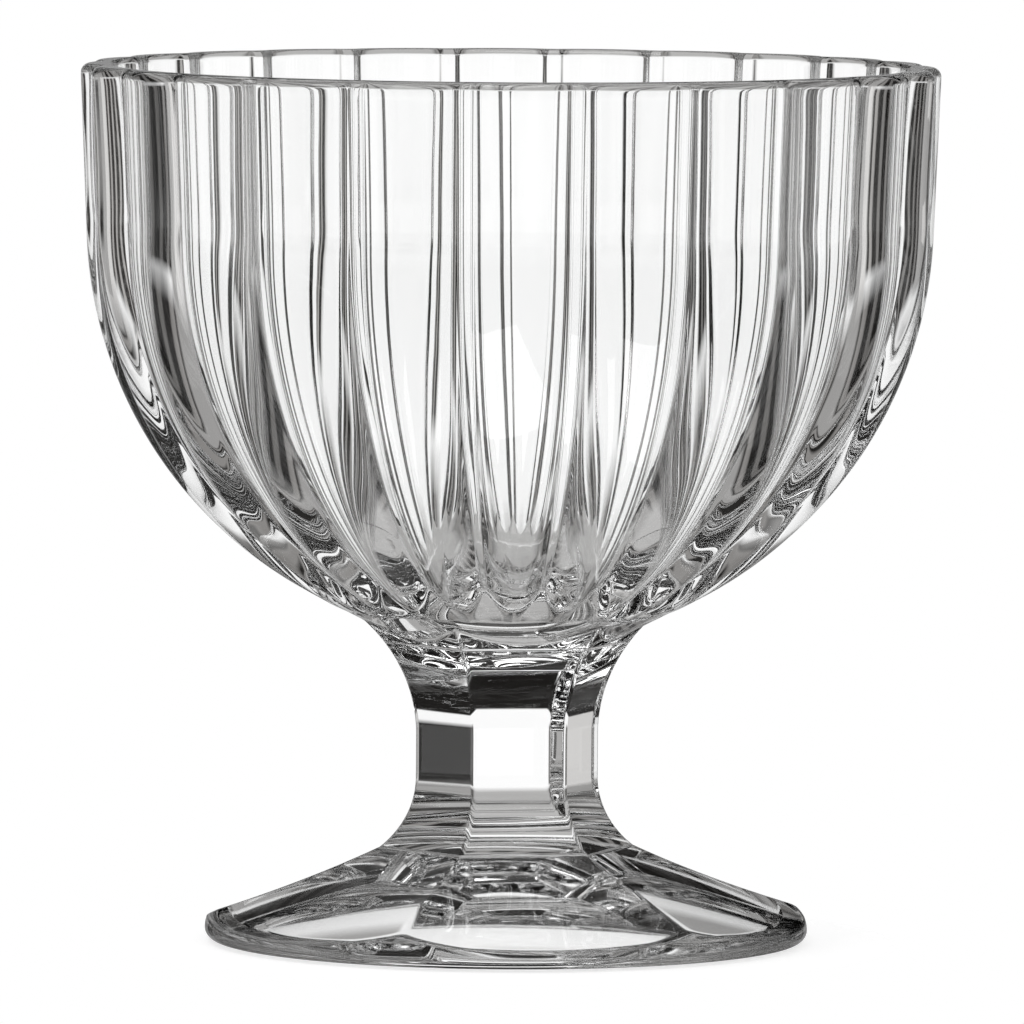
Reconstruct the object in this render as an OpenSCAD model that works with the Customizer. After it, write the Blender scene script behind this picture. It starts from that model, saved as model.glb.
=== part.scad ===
// Footed parfait glass in clear pressed glass: a ribbed round bowl, a short
// six-sided stem and a wide six-panelled foot, fused face to face. The origin is
// the middle of the face that it stands on, +Z runs up through the bowl, and a
// panel of the stem and foot faces -Y.

/* [Bowl] */
// Radius of the round lower bowl, over the crests of the ribs
bowl_r = 51.2; // [50.6:0.1:52]
// How much further out the crests of the ribs are at the mouth
mouth_flare = 0.8; // [0.4:0.1:1.6]
// Height of the nearly upright wall below the rim
wall_h = 18.7; // [15:0.1:20]
// Thickness of the glass behind a crest, low on the wall
wall_t = 3.8; // [3.5:0.1:4.6]
// Thickness of the glass behind a crest, at the rim
lip_t = 3.8; // [3.5:0.1:4.6]
// Height of the bowl's floor above the lowest point of the ball that the bowl is part of
floor_t = 5.2; // [4.8:0.1:7]
// Rounding of the rim's outer edge
lip_out_r = 1.2; // [0.6:0.1:1.5]
// Rounding of the rim's inner edge
lip_in_r = 0.7; // [0.4:0.1:0.9]

/* [Ribs] */
// How many ribs run round the bowl
rib_count = 24; // [22:2:28]
// Radius of each rib across its back, the same from toe to rim
rib_r = 9; // [8.6:0.1:10]
// Width of the plain strip at the bottom of each groove
valley_w = 0.7; // [0.6:0.1:1]

/* [Collar] */
// Distance from the axis where the crest of a rib runs out in its toe
toe_r = 22; // [21.6:0.1:22.6]
// Distance from the axis where the groove between two ribs runs out
cusp_r = 24.2; // [23.6:0.1:25]
// Radius across the smooth bead under the toes
bead_r = 13.5; // [11:0.1:16]
// Distance from the axis to the lower edge of that bead
bead_low_r = 20.2; // [19.4:0.1:20.8]
// Slope of the glass from the bead in to the six-sided collar
under_a = 27; // [25:0.5:29]
// Height of the six-sided collar, from its weld to the stem up to the bead
collar_h = 3.9; // [3.6:0.1:4.2]

/* [Stem] */
// Height of the stem, from its weld to the foot up to its weld to the bowl
stem_h = 24.96; // [22:0.02:40]
// Distance from the axis to the six flat panels at the waist
waist_d = 9.75; // [9.4:0.05:10.1]
// Radius of the hollow flare from the waist up to the bowl
stem_top_r = 20; // [19:0.1:22]
// Height of that flare, up to the weld
stem_top_h = 11.3; // [11:0.1:12]
// Radius of the hollow flare from the waist down to the foot
stem_low_r = 11.3; // [10.5:0.1:13]
// Height of that flare, down to the weld
stem_low_h = 8.5; // [7:0.1:9]
// How much the six corners are blunted
blunt = 0.12; // [0.1:0.01:0.16]

/* [Foot] */
// Radius of the foot
foot_r = 36.5; // [34:0.1:38]
// Height of the foot where the stem is welded to it
foot_h = 11.3; // [10.5:0.1:12]
// Height of the foot's edge at the middle of a panel
edge_h = 2; // [1.8:0.1:2.4]
// Radius of the hollow of the foot's panels
panel_r = 141; // [130:1:180]
// Rounding of the foot's edge, on its lower side
edge_low_r = 1.4; // [1:0.1:1.6]
// Rounding of the foot's edge, on its upper side
edge_top_r = 3.6; // [3.5:0.1:4]
// Width of the flat ring that the glass stands on
rest_w = 2.5; // [1.5:0.1:4]
// Rise of the hollow under the foot, at its middle
kick_h = 3; // [2:0.1:4]

/* [Hidden] */

$fn = 180;
// Facets of the wide, shallow arcs when they are drawn as a mesh
wide_fn = 720;

panel_count = 6;

// How far a cutting shape runs past what it cuts, and a hidden one into what covers it
overrun = 1;

// Width of a rib's slice over the pitch, so that its sides stay under the plain strips
slice_share = 0.97;

// Height between the ends of the stem's flat waist and the ends of its blunted corners' waist
corner_shift = 0.4;

// Sizes that two shapes of one profile share are whole steps of this, so that they meet
step = 0.01;
function even(x) = round(x / step) * step;

glass_colour = [0.84, 0.9, 0.92, 0.5];

// Along a crest the bowl is a ball, then a straight wall that leans out to the mouth
pitch = 360 / rib_count;
rib_arm = bowl_r - rib_r;
mouth_r = bowl_r + mouth_flare;
lean_a = acos(bowl_r / norm([mouth_r, wall_h])) - atan(wall_h / mouth_r);
wall_run = (wall_h + bowl_r * sin(lean_a)) / cos(lean_a) + overrun;

// Depth of a rib's skin under the ball's middle, at distance r from the axis and angle a from the crest
function skin_depth(r, a) =
    let (
        across = r * sin(a),
        along = r * cos(a),
        reach = rib_arm + sqrt(rib_r * rib_r - across * across)
    )
    sqrt(reach * reach - along * along);

// Distance from the axis to a rib's skin at angle a from the crest, on the rib whose middle is at arm
function skin_r(arm, a) = arm * cos(a) + sqrt(pow(rib_r, 2) - pow(arm * sin(a), 2));

// Angle from the crest to the edge of the plain strip, at distance r from the axis
function valley_a(r) = pitch / 2 - atan(valley_w / 2 / r);

// Centre of an arc of radius r from point a to point b, on the left of that way
function arc_centre(a, b, r) =
    let (
        run = b - a,
        lift = sqrt(r * r - run * run / 4) / norm(run)
    )
    (a + b) / 2 + lift * [-run[1], run[0]];

// Radius of the arc through points a, b and c
function arc_radius(a, b, c) =
    norm(a - b) * norm(b - c) * norm(c - a) / (2 * abs(cross(b - a, c - a)));

// The bead under the toes rises through the ends of the crests and of the grooves
toe_depth = skin_depth(toe_r, 0);
cusp_depth = skin_depth(cusp_r, valley_a(cusp_r));
bead_middle = arc_centre([toe_r, -toe_depth], [cusp_r, -cusp_depth], bead_r);
bead_low_depth = sqrt(pow(bead_r, 2) - pow(bead_low_r - bead_middle[0], 2)) - bead_middle[1];

// The pieces stand on each other, from the foot up to the middle of the ball and the rim
seam_z = foot_h + stem_h;
bead_low_z = seam_z + collar_h;
ball_z = bead_low_z + bead_low_depth;
glass_h = ball_z + wall_h;
cusp_z = ball_z - cusp_depth;
bead_centre = bead_middle + [0, ball_z];
under_seam_r = bead_low_r - collar_h / tan(under_a);

// The plain strips lie on an arc from the ends of the grooves up to the widest ring, then on a line
valley_low = [cusp_r, cusp_z];
valley_mid_r = (cusp_r + 2 * rib_arm) / 3;
valley_mid = [valley_mid_r, ball_z - skin_depth(valley_mid_r, valley_a(valley_mid_r))];
valley_top = [skin_r(rib_arm, valley_a(bowl_r)), ball_z];
valley_arc_r = arc_radius(valley_low, valley_mid, valley_top);
valley_centre = arc_centre(valley_low, valley_top, valley_arc_r);
valley_mouth_r = skin_r(mouth_r - rib_r, valley_a(mouth_r));
valley_lean_share = (valley_mouth_r - valley_top[0]) / wall_h;

// The bowl's hollow is a ball too, under a wall that leans out as the outside does
floor_z = ball_z - bowl_r + floor_t;
hollow_r = bowl_r - wall_t;
hollow_z = floor_z + hollow_r;
mouth_in_r = mouth_r - lip_t;

// The stem's two flares meet its straight waist at these heights
waist_top_z = even(seam_z - stem_top_h);
waist_low_z = even(foot_h + stem_low_h);

// How far an arc of radius r falls away over a run
function fall(r, run) = r - sqrt(r * r - run * run);

// Radius of the arc that falls away by drop over a run
function arc_for(run, drop) = (run * run + drop * drop) / (2 * drop);

// The stem's corners are blunted by a round form whose flares follow those of the panels
corner_share = 1 / cos(180 / panel_count);
corner_r = even(waist_d * corner_share - blunt);
corner_top_run = bead_low_z - waist_top_z;
corner_top_r = even(arc_for(corner_top_run, fall(stem_top_r, corner_top_run) * corner_share));
corner_low_r = even(arc_for(stem_low_h, fall(stem_low_r, stem_low_h) * corner_share));

// Distance from the axis to a panel of the stem at its weld to the foot
stem_foot_d = waist_d + stem_low_r - sqrt(stem_low_r * stem_low_r - stem_low_h * stem_low_h);

// The arc of the foot's panels runs from the stem's weld to the foot's edge, round this centre
panel_centre = arc_centre([stem_foot_d, foot_h], [foot_r, edge_h], panel_r);

// The hollow under the foot is a cap of a ball
rest_in_r = foot_r - edge_low_r - rest_w;
kick_r = (rest_in_r * rest_in_r + kick_h * kick_h) / (2 * kick_h);

// Two opposite sides, flat or arched, that a profile with x across and y up gives when drawn out
module side_pair(side, reach) {
    rotate(90 + side * 360 / panel_count)
        rotate([90, 0, 0])
            linear_extrude(2 * reach, center = true)
                children();
}

// Profile with two hollow flares and a straight waist at distance d, for panels and for corners
module waist_profile(low_z, top_z, d, low_r, top_r, shift) {
    half_w = d + max(low_r, top_r);
    difference() {
        translate([-half_w, low_z])
            square([2 * half_w, top_z - low_z]);
        for (side = [-1, 1]) {
            translate([side * (d + top_r), waist_top_z + shift])
                circle(top_r, $fn = wide_fn);
            translate([side * (d + low_r), waist_low_z - shift])
                circle(low_r, $fn = wide_fn);
            translate([side * (d + low_r) - low_r, waist_low_z - shift])
                square([2 * low_r, waist_top_z - waist_low_z + 2 * shift]);
        }
    }
}

// The six-sided form between two heights, with blunted corners
module six_sided(low_z, top_z) {
    intersection() {
        rotate_extrude()
            intersection() {
                waist_profile(low_z, top_z, corner_r, corner_low_r, corner_top_r, corner_shift);
                translate([0, low_z])
                    square([corner_r + corner_top_r, top_z - low_z]);
            }
        side_pair(0, corner_r + corner_top_r)
            waist_profile(low_z, top_z, waist_d, stem_low_r, stem_top_r, 0);
        side_pair(1, corner_r + corner_top_r)
            waist_profile(low_z, top_z, waist_d, stem_low_r, stem_top_r, 0);
        side_pair(2, corner_r + corner_top_r)
            waist_profile(low_z, top_z, waist_d, stem_low_r, stem_top_r, 0);
    }
}

// Profile across the foot: level where the stem is welded on, with a hollow slope on each side
module foot_profile() {
    difference() {
        translate([-foot_r - overrun, 0])
            square([2 * (foot_r + overrun), foot_h]);
        for (side = [-1, 1])
            translate([side * panel_centre[0], panel_centre[1]])
                circle(panel_r, $fn = wide_fn);
    }
}

// Section of the round foot with its rounded edge
module foot_disc_section() {
    square([foot_r - edge_low_r, edge_low_r]);
    translate([0, edge_low_r])
        square([foot_r - edge_top_r, foot_h - edge_low_r]);
    translate([foot_r - edge_low_r, edge_low_r])
        circle(edge_low_r);
    intersection() {
        translate([foot_r - edge_top_r, edge_low_r])
            circle(edge_top_r);
        translate([0, edge_low_r])
            square([foot_r, edge_top_r]);
    }
}

// The slice of the bowl that one rib fills
module rib_slice() {
    side_share = tan(slice_share * pitch / 2);
    near = toe_r - rib_r;
    far = mouth_r + overrun;
    translate([0, 0, ball_z - bowl_r])
        linear_extrude(bowl_r + wall_h + overrun)
            polygon([
                [near, -near * side_share],
                [far, -far * side_share],
                [far, far * side_share],
                [near, near * side_share]
            ]);
}

// One rib along +X: a round bar bent round the ball and run straight up the wall, one slice of it
module rib() {
    intersection() {
        translate([0, 0, ball_z])
            rotate([0, lean_a, 0]) {
                rotate([-90, 0, 0])
                    rotate_extrude(angle = 90)
                        translate([rib_arm, 0])
                            circle(rib_r);
                translate([rib_arm, 0, 0])
                    cylinder(h = wall_run, r = rib_r);
            }
        rib_slice();
    }
}

// Section of the bead under the toes and of the slope from there in to the collar
module bead_section() {
    polygon([
        [0, seam_z],
        [under_seam_r, seam_z],
        [bead_low_r, bead_low_z],
        [bead_centre[0], cusp_z + overrun],
        [0, cusp_z + overrun]
    ]);
    intersection() {
        translate(bead_centre)
            circle(bead_r);
        translate([bead_centre[0], bead_low_z])
            square([bead_r, cusp_z + overrun - bead_low_z]);
    }
}

// Section of the plain round wall whose outside shows as the strips between the ribs
module valley_section() {
    intersection() {
        translate(valley_centre)
            circle(valley_arc_r, $fn = wide_fn);
        translate([0, cusp_z - overrun])
            square([bowl_r, ball_z + overrun - cusp_z + overrun]);
    }
    polygon([
        [0, ball_z - overrun],
        [valley_top[0] - overrun * valley_lean_share, ball_z - overrun],
        [valley_mouth_r + overrun * valley_lean_share, glass_h + overrun],
        [0, glass_h + overrun]
    ]);
}

// The plain round form that the ribs stand on
module bowl_core() {
    rotate_extrude() {
        bead_section();
        valley_section();
    }
}

// What the food goes in, out past the rim
module bowl_hollow() {
    lean_share = (mouth_in_r - hollow_r) / (glass_h - hollow_z);
    translate([0, 0, hollow_z])
        sphere(hollow_r);
    translate([0, 0, hollow_z])
        cylinder(
            h = glass_h - hollow_z + overrun,
            r1 = hollow_r,
            r2 = mouth_in_r + overrun * lean_share
        );
}

// Round blank that gives the rim its outer rounding
module rim_blank() {
    rotate_extrude() {
        square([mouth_r, glass_h - lip_out_r]);
        square([mouth_r - lip_out_r, glass_h]);
        translate([mouth_r - lip_out_r, glass_h - lip_out_r])
            circle(lip_out_r);
    }
}

// What is taken off to round the rim's inner edge
module rim_inner_round() {
    translate([0, 0, glass_h - lip_in_r])
        rotate_extrude()
            difference() {
                square([mouth_in_r + lip_in_r, lip_in_r + overrun]);
                translate([mouth_in_r + lip_in_r, 0])
                    circle(lip_in_r);
            }
}

module bowl() {
    color(glass_colour)
        difference() {
            intersection() {
                union() {
                    bowl_core();
                    six_sided(seam_z, bead_low_z);
                    for (i = [0:rib_count - 1])
                        rotate(pitch * (i + 0.5) - 90)
                            rib();
                }
                rim_blank();
            }
            bowl_hollow();
            rim_inner_round();
        }
}

module stem() {
    color(glass_colour)
        six_sided(foot_h, seam_z);
}

module foot() {
    color(glass_colour)
        difference() {
            intersection() {
                rotate_extrude()
                    foot_disc_section();
                intersection_for (side = [0:panel_count / 2 - 1])
                    side_pair(side, foot_r + overrun)
                        foot_profile();
            }
            translate([0, 0, kick_h - kick_r])
                sphere(kick_r, $fn = wide_fn);
        }
}

bowl();
stem();
foot();
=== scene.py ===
"""Looks of a footed parfait glass in clear pressed glass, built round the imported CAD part.

The bowl, stem and foot are fine closed meshes made from the sizes of the CAD solids, with the softened
grooves, ridges and rim of fire-polished glass. They differ from the solids in two things, both inside
their outline: the ribs bulge like pillows between plain strips, and the hollow under the foot is deeper.
Where two meshes are welded face to face, the faces let light straight through, so that the glass is one
body to the eye.
"""

import math

import bpy
import numpy as np
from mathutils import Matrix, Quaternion, Vector


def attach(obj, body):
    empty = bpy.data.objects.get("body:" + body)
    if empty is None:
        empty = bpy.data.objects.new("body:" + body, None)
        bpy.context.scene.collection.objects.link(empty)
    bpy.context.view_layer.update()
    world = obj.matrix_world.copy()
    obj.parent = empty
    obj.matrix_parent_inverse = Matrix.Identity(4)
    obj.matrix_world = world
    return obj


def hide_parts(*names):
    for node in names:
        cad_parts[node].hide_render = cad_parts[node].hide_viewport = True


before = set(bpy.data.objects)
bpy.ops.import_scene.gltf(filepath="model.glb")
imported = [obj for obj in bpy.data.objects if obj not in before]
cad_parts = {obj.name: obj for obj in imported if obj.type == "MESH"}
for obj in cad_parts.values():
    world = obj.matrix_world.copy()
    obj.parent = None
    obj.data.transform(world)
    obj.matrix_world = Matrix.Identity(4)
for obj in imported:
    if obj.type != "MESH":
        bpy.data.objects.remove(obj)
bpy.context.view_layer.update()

MM = 0.001

# Sizes of the glass in millimetres, as in the CAD source
GLASS_H = 106.0
BOWL_R = 51.2
MOUTH_R = 52.0
WALL_H = 18.7
WALL_T = 3.8
LIP_T = 3.8
FLOOR_T = 5.2
LIP_OUT_R = 1.2
LIP_IN_R = 0.7
RIB_COUNT = 24
RIB_R = 9.0
TOE_R = 22.0
CUSP_R = 24.2
VALLEY_W = 0.7
BEAD_R = 13.5
BEAD_LOW_R = 20.2
UNDER_A = math.radians(27)
COLLAR_H = 3.9
WAIST_D = 9.75
STEM_TOP_R = 20.0
STEM_TOP_H = 11.3
STEM_LOW_R = 11.3
STEM_LOW_H = 8.5
FOOT_R = 36.5
FOOT_H = 11.3
EDGE_H = 2.0
PANEL_R = 141.0
EDGE_LOW_R = 1.4
EDGE_TOP_R = 3.6
REST_W = 2.5
PANELS = 6
# Height of the hollow under the foot, deeper than the CAD's
KICK_H = 6.5

# A rib's skin bulges like a pillow: its slope at half its width, and what its edge adds, at wall and toe
WALL_BULGE, WALL_EDGE = 0.54, 1.2
TOE_BULGE, TOE_EDGE = 0.8, 0.6
EDGE_POWER = 8
# Depth of the plain strips between the ribs at wall and toe
WALL_STRIP_DEPTH, TOE_STRIP_DEPTH = 1.5, 1.05
# The inner wall's flare grows as this power of the height
WALL_IN_POWER = 1.4
# Most of the wall's thickness that the outer and inner roundings of the lip take
LIP_OUT_SHARE, LIP_IN_SHARE = 0.55, 0.4

# How softly neighbouring surfaces run into each other, in millimetres
GROOVE_SOFT = 0.2
TOE_SOFT = 0.25
CORNER_SOFT = 0.5
RIDGE_SOFT = 0.9
EDGE_SOFT = 0.7
# The foot's ridges are sharper over this height below the stem, from this share of their softness
RIDGE_SOFT_H, RIDGE_SOFT_LEAST = 3, 0.3
# The top of the foot's edge grows soft over this height, from this share
EDGE_SOFT_H, EDGE_SOFT_LEAST = 0.6, 0.02
# The collar's softened corners come in over one part in this many of its height
COLLAR_PARTS = 4

# Columns of the mesh across a rib, and how far they crowd towards its grooves
COLUMNS_PER_RIB = 40
COLUMN_CROWDING = 0.5
# Rings of the mesh along each stretch of the outline
COLLAR_RINGS = 30
TOE_RINGS = 46
RIB_RINGS = 130
LIP_OUT_RINGS = 12
LIP_IN_RINGS = 9
WALL_IN_RINGS = 22
HOLLOW_RINGS = 110
STEM_CURVE_RINGS = 34
WAIST_RINGS = 12
KICK_RINGS = 60
EDGE_LOW_RINGS = 16
PANEL_RINGS = 44
# Angle that the toes span, seen from the ball's middle
TOE_SPAN_A = 0.16
# Height up to which the foot's rings lie closer together, radius of its first ring, and width of the
# narrow rings on both sides of the face that it stands on
EDGE_RINGS_H = 4.6
KICK_FIRST_R = 0.4
REST_SIDE_W = 0.05
# Steps in which the wall's radius at a height is found
WALL_STEPS = 6

BALL_Z = GLASS_H - WALL_H
PITCH = 2 * math.pi / RIB_COUNT
RIB_ARM = BOWL_R - RIB_R
LEAN = math.acos(BOWL_R / math.hypot(MOUTH_R, WALL_H)) - math.atan(WALL_H / MOUTH_R)
PANEL_A = 2 * math.pi / PANELS

# Material slots of the meshes
GLASS_SLOT, WELD_SLOT, SATIN_SLOT = 0, 1, 2
# The underside's faces point at least this far down, and lie no more than this times its height up
UNDERSIDE_NORMAL_Z = -0.5
UNDERSIDE_REACH = 1.01

GLASS_COLOR = (0.995, 0.997, 0.996, 1)
GLASS_IOR = 1.51
UNDERSIDE_ROUGHNESS = 0.05
# The mould's faint unevenness
WAVE_SCALE = 90.0
WAVE_DETAIL = 2.0
WAVE_STRENGTH = 0.012
WAVE_DEPTH = 0.001

FLOOR_R = 0.047
FLOOR_Z = -0.0003
FLOOR_SIDES = 96
FLOOR_COLOR = (0.4, 0.4, 0.4, 1)
FLOOR_ROUGHNESS = 0.6
FLOOR_GLOW = 0.7

# The studio round the glass, told by the height z of a direction (its sine) and by its angle from the
# middle of the nearest of four backdrops. A pair of limits runs from where a thing is absent to where
# it is fully there. A pair of colours is for the left and right of a backdrop.
WHITE = (1, 1, 1, 1)
BACKDROP_LOW_Z = (-0.28, -0.2)
BACKDROP_TOP_Z = (0.115, 0.13)
HIGH_COLOR = (0.01, 0.0093, 0.0086, 1)
# Low cards at the sides of a backdrop, made of dark slats with dim gaps, one slat round SLAT_A
CARD_A = (math.radians(17), math.radians(20))
CARD_LOW_Z = (-0.215, -0.185)
CARD_TOP_Z = (0.035, -0.01)
SIDE_A = (math.radians(44.5), math.radians(45.5))
SLAT_A = math.radians(33)
SLAT_PITCH = math.radians(6)
SLAT_EDGE = (-0.7, 0.1)
GAP_COLORS = (0.4, 0.39, 0.38, 1), (0.2, 0.195, 0.19, 1)
SLAT_COLORS = (0.02, 0.0185, 0.017, 1), (0.01, 0.0093, 0.0086, 1)
# Grey corners between the backdrops, and between their tables
CORNER_A = (math.radians(38.5), math.radians(40.5))
CORNER_COLORS = (0.7, 0.69, 0.68, 1), (0.4, 0.395, 0.39, 1)
CORNER_TABLE_COLOR = (0.34, 0.335, 0.33, 1)
# The table under a backdrop: a lit strip towards the glass, with stripes of light and shade beside it
TABLE_A = (math.radians(18), math.radians(11))
TABLE_LOW_Z = (-0.74, -0.66)
TABLE_COLOR = (0.45, 0.445, 0.44, 1)
STRIPE_PITCH = math.radians(9)
STRIPE_EDGE = (-0.2, 0.6)
STRIPE_COLOR = (0.26, 0.252, 0.245, 1)
SHADE_COLOR = (0.015, 0.014, 0.013, 1)
# The pale floor, seen steeply down
DEEP_Z = (-0.76, -0.84)
DEEP_COLOR = (0.5, 0.495, 0.49, 1)
# The backdrops on the left and right of the camera's way are bright only in their middle
FLANK_X = (0.8, 0.86)
FLANK_A = (math.radians(11), math.radians(20))
FLANK_LEVEL = 0.5
# How bright the studio is through the glass, in its reflections and on matt things
THROUGH_STRENGTH = 1.05
REFLECTED_STRENGTH = 0.3
PLAIN_STRENGTH = 0.9
# The soft light overhead, seen in reflections alone
OVERHEAD_Z = (0.45, 0.8)
OVERHEAD_COLOR = (2, 2, 2, 1)

LAMP_PLACE = (-0.4, -0.5, 1.3)
LAMP_AIM = (0, 0, 0.05)
LAMP_SIZE = 0.9
LAMP_POWER = 6.0

# The camera: nearly level, a little left of the middle of a panel, far off with a long lens
CAMERA_A = math.radians(-9)
CAMERA_UP = math.radians(4.2)
CAMERA_FAR = 1.7
CAMERA_ROLL = math.radians(0.375)
CLIP_START, CLIP_END = 0.01, 50
SENSOR_WIDTH = 36.0
LENS = 494.0
TARGET_Z = 0.0519
TARGET_RIGHT = 0.00042


def smooth_max(a, b, soft):
    """The larger of a and b, run together over soft."""
    share = np.clip(0.5 + 0.5 * (a - b) / soft, 0, 1)
    return b + (a - b) * share + soft * share * (1 - share)


def smooth_min(a, b, soft):
    """The smaller of a and b, run together over soft."""
    return -smooth_max(-a, -b, soft)


def arc_centre(a, b, r):
    """Centre of an arc of radius r from a to b, on the left of that way."""
    run = (b[0] - a[0], b[1] - a[1])
    length = math.hypot(*run)
    lift = math.sqrt(r * r - length * length / 4) / length
    return ((a[0] + b[0]) / 2 - lift * run[1], (a[1] + b[1]) / 2 + lift * run[0])


def round_rib_z(r, a):
    """Height of a round rib's skin on the ball, at distance r from the axis and angle a from the crest."""
    across, along = r * math.sin(a), r * math.cos(a)
    reach = RIB_ARM + math.sqrt(RIB_R**2 - across**2)
    return BALL_Z - math.sqrt(reach**2 - along**2)


CUSP_A = PITCH / 2 - math.atan(VALLEY_W / 2 / CUSP_R)
BEAD_CENTRE = arc_centre((TOE_R, round_rib_z(TOE_R, 0)), (CUSP_R, round_rib_z(CUSP_R, CUSP_A)), BEAD_R)
BEAD_LOW_Z = BEAD_CENTRE[1] - math.sqrt(BEAD_R**2 - (BEAD_LOW_R - BEAD_CENTRE[0]) ** 2)
SEAM_Z = BEAD_LOW_Z - COLLAR_H
WAIST_TOP_Z = SEAM_Z - STEM_TOP_H
WAIST_LOW_Z = FOOT_H + STEM_LOW_H
BOWL_FLOOR_Z = BALL_Z - BOWL_R + FLOOR_T
HOLLOW_R = BOWL_R - WALL_T
HOLLOW_Z = BOWL_FLOOR_Z + HOLLOW_R
MOUTH_IN_R = MOUTH_R - LIP_T
STEM_FOOT_D = WAIST_D + STEM_LOW_R - math.sqrt(STEM_LOW_R**2 - STEM_LOW_H**2)
PANEL_CENTRE = arc_centre((STEM_FOOT_D, FOOT_H), (FOOT_R, EDGE_H), PANEL_R)
REST_IN_R = FOOT_R - EDGE_LOW_R - REST_W
KICK_R = (REST_IN_R**2 + KICK_H**2) / (2 * KICK_H)


def column_angles():
    """Angles of the mesh's columns round the axis, closer together at the grooves."""
    t = -1 + 2 * np.arange(COLUMNS_PER_RIB) / COLUMNS_PER_RIB
    crowded = np.sin(math.pi * t / 2)
    near = PITCH / 2 * ((1 - COLUMN_CROWDING) * t + COLUMN_CROWDING * crowded)
    middles = PITCH * (np.arange(RIB_COUNT) + 0.5) - math.pi / 2
    return (middles[:, None] + near[None, :]).ravel()


THETA = column_angles()
# Angle of each column from the nearest crest, and from the nearest panel's middle
FROM_CREST = np.abs((THETA + math.pi / 2) % PITCH - PITCH / 2)
FROM_PANEL = np.abs((THETA + math.pi / 2 + PANEL_A / 2) % PANEL_A - PANEL_A / 2)


def all_round(x):
    """The value x for every column."""
    return np.full_like(THETA, x)


def level_ring(r, z):
    """A round ring. Every ring is its columns' distances from the axis and their heights."""
    return all_round(r), all_round(z)


def spread(a, b, count):
    """count values from a to b."""
    return a + (b - a) * np.linspace(0, 1, count)


def crest_reach(up):
    """Distance from the ball's middle to the ribs' crests, up being the angle above the level."""
    k_wall = np.cos(up) * math.cos(LEAN) - np.sin(up) * math.sin(LEAN)
    tilted = np.cos(up) * math.sin(LEAN) + np.sin(up) * math.cos(LEAN)
    return np.where(tilted > 0, BOWL_R / k_wall, BOWL_R)


def skin_reach(up):
    """Distance from the ball's middle to the ribs and the strips between them."""
    crest = crest_reach(up)
    out = np.minimum(crest * np.cos(up), BOWL_R)
    half = out * math.sin(PITCH / 2)
    across = out * np.sin(FROM_CREST)
    u = across / half
    toe = np.clip((BOWL_R - out) / (BOWL_R - TOE_R), 0, 1)
    bulge = WALL_BULGE + (TOE_BULGE - WALL_BULGE) * toe
    edge = WALL_EDGE + (TOE_EDGE - WALL_EDGE) * toe
    fall = half * (bulge * u**2 / 2 + edge * u**EDGE_POWER / EDGE_POWER) - across**2 / (2 * BOWL_R)
    strip = WALL_STRIP_DEPTH + (TOE_STRIP_DEPTH - WALL_STRIP_DEPTH) * toe
    return crest - smooth_min(fall, strip, GROOVE_SOFT)


def bead_reach(up):
    """Distance from the ball's middle to the bead under the toes, or 0 where it is missed."""
    dx, dz = math.cos(up), math.sin(up)
    cx, cz = BEAD_CENTRE[0], BEAD_CENTRE[1] - BALL_Z
    along = cx * dx + cz * dz
    root = along**2 - (cx**2 + cz**2 - BEAD_R**2)
    return along + math.sqrt(root) if root > 0 else 0.0


def rib_ring(up):
    """Ring of the ribs, and of the bead under their toes, at the angle up above the level."""
    reach = smooth_max(skin_reach(all_round(up)), all_round(bead_reach(up)), TOE_SOFT)
    return reach * math.cos(up), BALL_Z + reach * math.sin(up)


def wall_r(z):
    """Distance from the axis to the wall's skin at height z."""
    up = all_round(math.atan2(z - BALL_Z, MOUTH_R))
    for _ in range(WALL_STEPS):
        reach = skin_reach(up)
        up = np.arcsin((z - BALL_Z) / reach)
    return reach * np.cos(up)


def six_sided(d, soft):
    """Distance from the axis to six flat sides that lie d from it, with softened corners."""
    return smooth_min(d / np.cos(FROM_PANEL), d / np.cos(PANEL_A - FROM_PANEL), soft)


def stem_d(z):
    """Distance from the axis to the stem's panels at height z."""
    if z > WAIST_TOP_Z:
        return WAIST_D + STEM_TOP_R - math.sqrt(STEM_TOP_R**2 - (z - WAIST_TOP_Z) ** 2)
    if z < WAIST_LOW_Z:
        return WAIST_D + STEM_LOW_R - math.sqrt(STEM_LOW_R**2 - (WAIST_LOW_Z - z) ** 2)
    return WAIST_D


def stem_ring(z):
    return six_sided(stem_d(z), CORNER_SOFT), all_round(z)


def collar_ring(z):
    slope_r = BEAD_LOW_R - (BEAD_LOW_Z - z) / math.tan(UNDER_A)
    r = smooth_max(six_sided(stem_d(z), CORNER_SOFT), all_round(slope_r), TOE_SOFT)
    # The softened corners of the slope leave the bead's lower edge where it is
    share = min(1, (BEAD_LOW_Z - z) / COLLAR_H * COLLAR_PARTS)
    return r * share + slope_r * (1 - share), all_round(z)


def foot_ring(z):
    if z < EDGE_LOW_R:
        edge = FOOT_R - EDGE_LOW_R + math.sqrt(max(0, EDGE_LOW_R**2 - (EDGE_LOW_R - z) ** 2))
        return level_ring(edge, z)
    d = PANEL_CENTRE[0] - math.sqrt(PANEL_R**2 - (z - PANEL_CENTRE[1]) ** 2)
    sides = six_sided(d, RIDGE_SOFT * min(1, RIDGE_SOFT_LEAST + (FOOT_H - z) / RIDGE_SOFT_H))
    rise = min(z - EDGE_LOW_R, EDGE_TOP_R)
    edge = FOOT_R - EDGE_TOP_R + math.sqrt(EDGE_TOP_R**2 - rise**2)
    soft = EDGE_SOFT * min(1, (z - EDGE_LOW_R) / EDGE_SOFT_H + EDGE_SOFT_LEAST)
    return smooth_min(sides, all_round(edge), soft), all_round(z)


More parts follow.
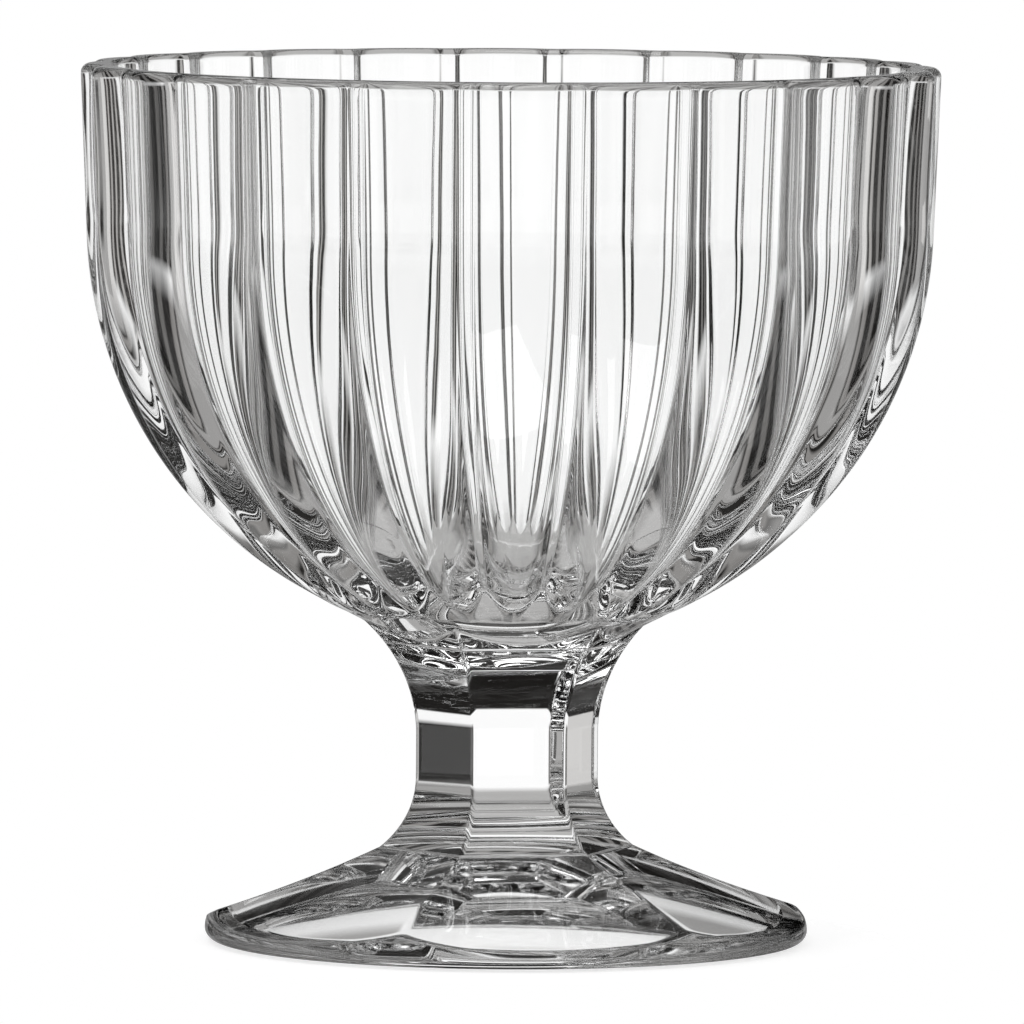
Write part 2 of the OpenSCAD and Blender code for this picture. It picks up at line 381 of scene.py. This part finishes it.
def lip_rings():
    """Rings of the lip's outer rounding, then of its inner one."""
    round_z = GLASS_H - LIP_OUT_R
    base = wall_r(round_z)
    thick = base - MOUTH_IN_R
    out_w = np.minimum(LIP_OUT_R, LIP_OUT_SHARE * thick)
    in_w = np.minimum(LIP_IN_R, LIP_IN_SHARE * thick)
    rings = [(base, all_round(round_z))]
    for a in spread(0, math.pi / 2, LIP_OUT_RINGS)[1:]:
        z = round_z + LIP_OUT_R * math.sin(a)
        outer = base + (z - round_z) * math.tan(LEAN)
        rings.append((outer - out_w * (1 - math.cos(a)), all_round(z)))
    for a in spread(0, math.pi / 2, LIP_IN_RINGS):
        z = GLASS_H - LIP_IN_R * (1 - math.cos(a))
        rings.append((all_round(MOUTH_IN_R) + in_w * (1 - math.sin(a)), all_round(z)))
    return rings


def bowl_rings():
    """Rings of the bowl from the weld out, up the ribs, over the lip and down the inside."""
    rings = [collar_ring(z) for z in spread(SEAM_Z, BEAD_LOW_Z, COLLAR_RINGS)[:-1]]
    low_up = -math.atan2(BALL_Z - BEAD_LOW_Z, BEAD_LOW_R)
    toe_up = low_up + TOE_SPAN_A
    top_up = math.atan2(GLASS_H - LIP_OUT_R - BALL_Z, MOUTH_R)
    ups = list(spread(low_up, toe_up, TOE_RINGS)) + list(spread(toe_up, top_up, RIB_RINGS))[1:-1]
    rings += [rib_ring(up) for up in ups]
    rings += lip_rings()
    for z in spread(GLASS_H - LIP_IN_R, HOLLOW_Z, WALL_IN_RINGS)[1:]:
        share = (z - HOLLOW_Z) / (GLASS_H - HOLLOW_Z)
        rings.append(level_ring(HOLLOW_R + (MOUTH_IN_R - HOLLOW_R) * share**WALL_IN_POWER, z))
    for down in spread(0, math.pi / 2, HOLLOW_RINGS)[1:-1]:
        rings.append(level_ring(HOLLOW_R * math.cos(down), HOLLOW_Z - HOLLOW_R * math.sin(down)))
    return rings, (SEAM_Z, BOWL_FLOOR_Z)


def stem_rings():
    """Rings of the stem from the foot up."""
    zs = list(spread(FOOT_H, WAIST_LOW_Z, STEM_CURVE_RINGS))
    zs += list(spread(WAIST_LOW_Z, WAIST_TOP_Z, WAIST_RINGS))[1:]
    zs += list(spread(WAIST_TOP_Z, SEAM_Z, STEM_CURVE_RINGS))[1:]
    return [stem_ring(z) for z in zs], (FOOT_H, SEAM_Z)


def foot_rings():
    """Rings of the foot from the middle of its hollow out, round the edge and up to the stem."""
    drop = KICK_R - KICK_H
    rings = []
    for r in spread(KICK_FIRST_R, REST_IN_R, KICK_RINGS):
        rings.append(level_ring(r, math.sqrt(KICK_R**2 - r * r) - drop))
    rings.append(level_ring(REST_IN_R + REST_SIDE_W, 0))
    rings.append(level_ring(FOOT_R - EDGE_LOW_R - REST_SIDE_W, 0))
    for a in spread(0, math.pi / 2, EDGE_LOW_RINGS):
        rings.append(foot_ring(EDGE_LOW_R * (1 - math.cos(a))))
    for low, high in ((EDGE_LOW_R, EDGE_RINGS_H), (EDGE_RINGS_H, FOOT_H)):
        rings += [foot_ring(z) for z in spread(low, high, PANEL_RINGS)[1:]]
    return rings, (KICK_H, FOOT_H)


def ring_mesh(name, rings, end_zs, welds):
    """A closed mesh through the rings, with a fan at each end. welds says which ends are welded."""
    count, columns = len(rings), len(THETA)
    points = np.zeros((count * columns + 2, 3))
    for i, (r, z) in enumerate(rings):
        part = points[i * columns:(i + 1) * columns]
        part[:, 0], part[:, 1], part[:, 2] = r * np.cos(THETA), r * np.sin(THETA), z
    points[-2, 2], points[-1, 2] = end_zs
    here = np.arange(columns)
    beyond = (here + 1) % columns
    faces = []
    for i in range(count - 1):
        a, b = i * columns, (i + 1) * columns
        faces.append(np.stack([a + here, a + beyond, b + beyond, b + here], 1))
    quads = np.concatenate(faces).tolist()
    first, last = count * columns, count * columns + 1
    top = (count - 1) * columns
    first_fan = np.stack([np.full(columns, first), beyond, here], 1).tolist()
    last_fan = np.stack([np.full(columns, last), top + here, top + beyond], 1).tolist()
    mesh = bpy.data.meshes.new(name)
    mesh.from_pydata((points * MM).tolist(), [], quads + first_fan + last_fan)
    mesh.validate()
    smooth = np.ones(len(mesh.polygons), bool)
    slots = np.full(len(mesh.polygons), GLASS_SLOT, np.int32)
    for weld, start in zip(welds, (len(quads), len(quads) + columns)):
        if weld:
            slots[start:start + columns] = WELD_SLOT
            smooth[start:start + columns] = False
    mesh.polygons.foreach_set("use_smooth", smooth)
    mesh.polygons.foreach_set("material_index", slots)
    mesh.update()
    piece = bpy.data.objects.new(name, mesh)
    bpy.context.scene.collection.objects.link(piece)
    return piece


def math_node(tree, operation, a, b=None, clamp=False):
    n = tree.nodes.new("ShaderNodeMath")
    n.operation = operation
    n.use_clamp = clamp
    for i, x in enumerate((a, b)):
        if x is None:
            continue
        if isinstance(x, (int, float)):
            n.inputs[i].default_value = x
        else:
            tree.links.new(x, n.inputs[i])
    return n.outputs[0]


def ramp(tree, x, ends):
    """0 where x is at the first end and 1 where it is at the second."""
    part = math_node(tree, "SUBTRACT", x, ends[0])
    return math_node(tree, "DIVIDE", part, ends[1] - ends[0], True)


def mix_color(tree, share, a, b):
    """Colour a where share is 0 and b where it is 1."""
    n = tree.nodes.new("ShaderNodeMix")
    n.data_type = "RGBA"
    tree.links.new(share, n.inputs["Factor"])
    for socket, x in ((n.inputs[6], a), (n.inputs[7], b)):
        if isinstance(x, tuple):
            socket.default_value = x
        else:
            tree.links.new(x, socket)
    return n.outputs[2]


def mix_shader(tree, share, a, b):
    """Shader a where share is 0 and b where it is 1."""
    n = tree.nodes.new("ShaderNodeMixShader")
    for socket, x in zip(n.inputs, (share, a, b)):
        tree.links.new(x, socket)
    return n.outputs[0]


def glass_seen(tree, path):
    """1 for a ray that the glass lets through or mirrors."""
    return math_node(tree, "MAXIMUM", path.outputs["Is Glossy Ray"], path.outputs["Is Transmission Ray"])


def glass_material(name, roughness):
    """Clear pressed glass with the faint unevenness that the mould leaves."""
    m = bpy.data.materials.new(name)
    m.use_nodes = True
    tree = m.node_tree
    shader = tree.nodes["Principled BSDF"]
    shader.inputs["Base Color"].default_value = GLASS_COLOR
    shader.inputs["Roughness"].default_value = roughness
    shader.inputs["IOR"].default_value = GLASS_IOR
    shader.inputs["Transmission Weight"].default_value = 1.0
    where = tree.nodes.new("ShaderNodeTexCoord")
    waves = tree.nodes.new("ShaderNodeTexNoise")
    waves.inputs["Scale"].default_value = WAVE_SCALE
    waves.inputs["Detail"].default_value = WAVE_DETAIL
    bump = tree.nodes.new("ShaderNodeBump")
    bump.inputs["Strength"].default_value = WAVE_STRENGTH
    bump.inputs["Distance"].default_value = WAVE_DEPTH
    tree.links.new(where.outputs["Object"], waves.inputs["Vector"])
    tree.links.new(waves.outputs["Fac"], bump.inputs["Height"])
    tree.links.new(bump.outputs["Normal"], shader.inputs["Normal"])
    return m


def weld_material():
    """The face inside a weld, which light passes as if it weren't there."""
    m = bpy.data.materials.new("weld_face")
    m.use_nodes = True
    tree = m.node_tree
    tree.nodes.clear()
    out = tree.nodes.new("ShaderNodeOutputMaterial")
    clear = tree.nodes.new("ShaderNodeBsdfTransparent")
    tree.links.new(clear.outputs["BSDF"], out.inputs["Surface"])
    return m


def mark_underside(mesh):
    """The hollow under the foot is left as the mould made it, less bright than the fire-polished rest."""
    top = KICK_H * MM * UNDERSIDE_REACH
    for face in mesh.polygons:
        if (face.material_index == GLASS_SLOT and face.normal.z < UNDERSIDE_NORMAL_Z
                and face.center.z < top):
            face.material_index = SATIN_SLOT


def make_glass():
    glass = glass_material("clear_pressed_glass", 0.0)
    weld = weld_material()
    satin = glass_material("mould_side_glass", UNDERSIDE_ROUGHNESS)
    for name, (rings, end_zs), welds in (
        ("bowl", bowl_rings(), (True, False)),
        ("stem", stem_rings(), (True, True)),
        ("foot", foot_rings(), (False, True)),
    ):
        piece = ring_mesh("glass_" + name, rings, end_zs, welds)
        # In the order of the slots
        for material in (glass, weld, satin):
            piece.data.materials.append(material)
        if name == "foot":
            mark_underside(piece.data)
        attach(piece, "root")
        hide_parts(name)


def make_floor():
    """A small pale floor that takes the glass's shadow."""
    turns = [2 * math.pi * i / FLOOR_SIDES for i in range(FLOOR_SIDES)]
    ring = [(FLOOR_R * math.cos(a), FLOOR_R * math.sin(a), FLOOR_Z) for a in turns]
    mesh = bpy.data.meshes.new("floor")
    mesh.from_pydata(ring, [], [list(range(FLOOR_SIDES))])
    floor = bpy.data.objects.new("floor", mesh)
    bpy.context.scene.collection.objects.link(floor)
    m = bpy.data.materials.new("pale_floor")
    m.use_nodes = True
    tree = m.node_tree
    shader = tree.nodes["Principled BSDF"]
    shader.inputs["Base Color"].default_value = FLOOR_COLOR
    shader.inputs["Roughness"].default_value = FLOOR_ROUGHNESS
    shader.inputs["Emission Color"].default_value = WHITE
    path = tree.nodes.new("ShaderNodeLightPath")
    glow = math_node(tree, "MULTIPLY", path.outputs["Is Camera Ray"], FLOOR_GLOW)
    tree.links.new(glow, shader.inputs["Emission Strength"])
    # Through the glass and in its reflections the studio's own table and floor are seen instead
    clear = tree.nodes.new("ShaderNodeBsdfTransparent")
    either = mix_shader(tree, glass_seen(tree, path), shader.outputs["BSDF"], clear.outputs["BSDF"])
    tree.links.new(either, tree.nodes["Material Output"].inputs["Surface"])
    mesh.materials.append(m)


def background(tree, color, strength):
    """A background shader. Its colour and strength are values or sockets."""
    n = tree.nodes.new("ShaderNodeBackground")
    for socket, x in ((n.inputs["Color"], color), (n.inputs["Strength"], strength)):
        if isinstance(x, (tuple, float)):
            socket.default_value = x
        else:
            tree.links.new(x, socket)
    return n.outputs["Background"]


def studio_color(tree, z, off, quarter):
    """The studio's colour by height, angle off the nearest backdrop, and turn within its quarter."""
    side = ramp(tree, quarter, SIDE_A)
    card = math_node(tree, "MULTIPLY", ramp(tree, off, CARD_A), ramp(tree, z, CARD_LOW_Z))
    card = math_node(tree, "MULTIPLY", card, ramp(tree, z, CARD_TOP_Z))
    from_slat = math_node(tree, "SUBTRACT", off, SLAT_A)
    turn = math_node(tree, "MULTIPLY", from_slat, 2 * math.pi / SLAT_PITCH)
    slat = ramp(tree, math_node(tree, "COSINE", turn), SLAT_EDGE)
    slats = mix_color(tree, slat, mix_color(tree, side, *GAP_COLORS), mix_color(tree, side, *SLAT_COLORS))
    corner = ramp(tree, off, CORNER_A)
    backdrop = mix_color(tree, card, WHITE, slats)
    backdrop = mix_color(tree, corner, backdrop, mix_color(tree, side, *CORNER_COLORS))
    upper = mix_color(tree, ramp(tree, z, BACKDROP_TOP_Z), backdrop, HIGH_COLOR)

    turn = math_node(tree, "MULTIPLY", off, 2 * math.pi / STRIPE_PITCH)
    stripe = ramp(tree, math_node(tree, "COSINE", turn), STRIPE_EDGE)
    beside = mix_color(tree, stripe, SHADE_COLOR, STRIPE_COLOR)
    beside = mix_color(tree, corner, beside, CORNER_TABLE_COLOR)
    beside = mix_color(tree, ramp(tree, z, DEEP_Z), beside, DEEP_COLOR)
    lit = math_node(tree, "MULTIPLY", ramp(tree, off, TABLE_A), ramp(tree, z, TABLE_LOW_Z))
    table = mix_color(tree, lit, beside, TABLE_COLOR)
    return mix_color(tree, ramp(tree, z, BACKDROP_LOW_Z), table, upper)


def make_world():
    """A studio that the glass shows, plain light for matt things, and white behind them."""
    world = bpy.data.worlds.new("studio")
    bpy.context.scene.world = world
    world.use_nodes = True
    tree = world.node_tree
    tree.nodes.clear()
    where = tree.nodes.new("ShaderNodeTexCoord")
    split = tree.nodes.new("ShaderNodeSeparateXYZ")
    tree.links.new(where.outputs["Generated"], split.inputs["Vector"])
    x, y, z = split.outputs
    # One backdrop is straight behind the object, and the others follow every quarter turn
    azimuth = math_node(tree, "ARCTAN2", x, y)
    turned = math_node(tree, "ADD", azimuth, math.pi * 4 + math.pi / 4 + CAMERA_A)
    quarter = math_node(tree, "MODULO", turned, math.pi / 2)
    off = math_node(tree, "ABSOLUTE", math_node(tree, "SUBTRACT", quarter, math.pi / 4))
    color = studio_color(tree, z, off, quarter)

    from_back = math_node(tree, "ADD", azimuth, CAMERA_A)
    flank = math_node(tree, "ABSOLUTE", math_node(tree, "SINE", from_back))
    beside = math_node(tree, "MULTIPLY", ramp(tree, flank, FLANK_X), ramp(tree, off, FLANK_A))
    dimmed = math_node(tree, "MULTIPLY", beside, FLANK_LEVEL - 1)
    light = math_node(tree, "ADD", dimmed, 1.0)

    path = tree.nodes.new("ShaderNodeLightPath")
    through = path.outputs["Is Transmission Ray"]
    mirrored = math_node(tree, "SUBTRACT", path.outputs["Is Glossy Ray"], through)
    overhead = math_node(tree, "MULTIPLY", ramp(tree, z, OVERHEAD_Z), mirrored)
    color = mix_color(tree, overhead, color, OVERHEAD_COLOR)
    bright = math_node(tree, "MULTIPLY", through, THROUGH_STRENGTH - REFLECTED_STRENGTH)
    bright = math_node(tree, "ADD", bright, REFLECTED_STRENGTH)
    studio = background(tree, color, math_node(tree, "MULTIPLY", bright, light))

    plain = background(tree, WHITE, PLAIN_STRENGTH)
    lit = mix_shader(tree, glass_seen(tree, path), plain, studio)
    seen = mix_shader(tree, path.outputs["Is Camera Ray"], lit, background(tree, WHITE, 1.0))
    out = tree.nodes.new("ShaderNodeOutputWorld")
    tree.links.new(seen, out.inputs["Surface"])


def make_lamp():
    lamp = bpy.data.lights.new("soft_top", "AREA")
    lamp.size = LAMP_SIZE
    lamp.energy = LAMP_POWER
    o = bpy.data.objects.new("soft_top", lamp)
    bpy.context.scene.collection.objects.link(o)
    o.location = LAMP_PLACE
    o.rotation_mode = "QUATERNION"
    o.rotation_quaternion = (Vector(LAMP_AIM) - Vector(LAMP_PLACE)).to_track_quat("-Z", "Y")


def make_camera():
    data = bpy.data.cameras.new("camera")
    data.lens = LENS
    data.sensor_width = SENSOR_WIDTH
    data.clip_start, data.clip_end = CLIP_START, CLIP_END
    camera = bpy.data.objects.new("camera", data)
    bpy.context.scene.collection.objects.link(camera)
    level = math.cos(CAMERA_UP)
    back = Vector((math.sin(CAMERA_A) * level, -math.cos(CAMERA_A) * level, math.sin(CAMERA_UP)))
    right = Vector((math.cos(CAMERA_A), math.sin(CAMERA_A), 0))
    camera.rotation_mode = "QUATERNION"
    camera.rotation_quaternion = (-back).to_track_quat("-Z", "Y") @ Quaternion((0, 0, 1), CAMERA_ROLL)
    camera.location = Vector((0, 0, TARGET_Z)) + right * TARGET_RIGHT + back * CAMERA_FAR
    bpy.context.scene.camera = camera


make_camera()
make_glass()
make_floor()
make_world()
make_lamp()

scene = bpy.context.scene
scene.view_settings.view_transform = "Standard"
scene.cycles.max_bounces = 40
scene.cycles.transmission_bounces = 40
scene.cycles.glossy_bounces = 12
scene.cycles.transparent_max_bounces = 32
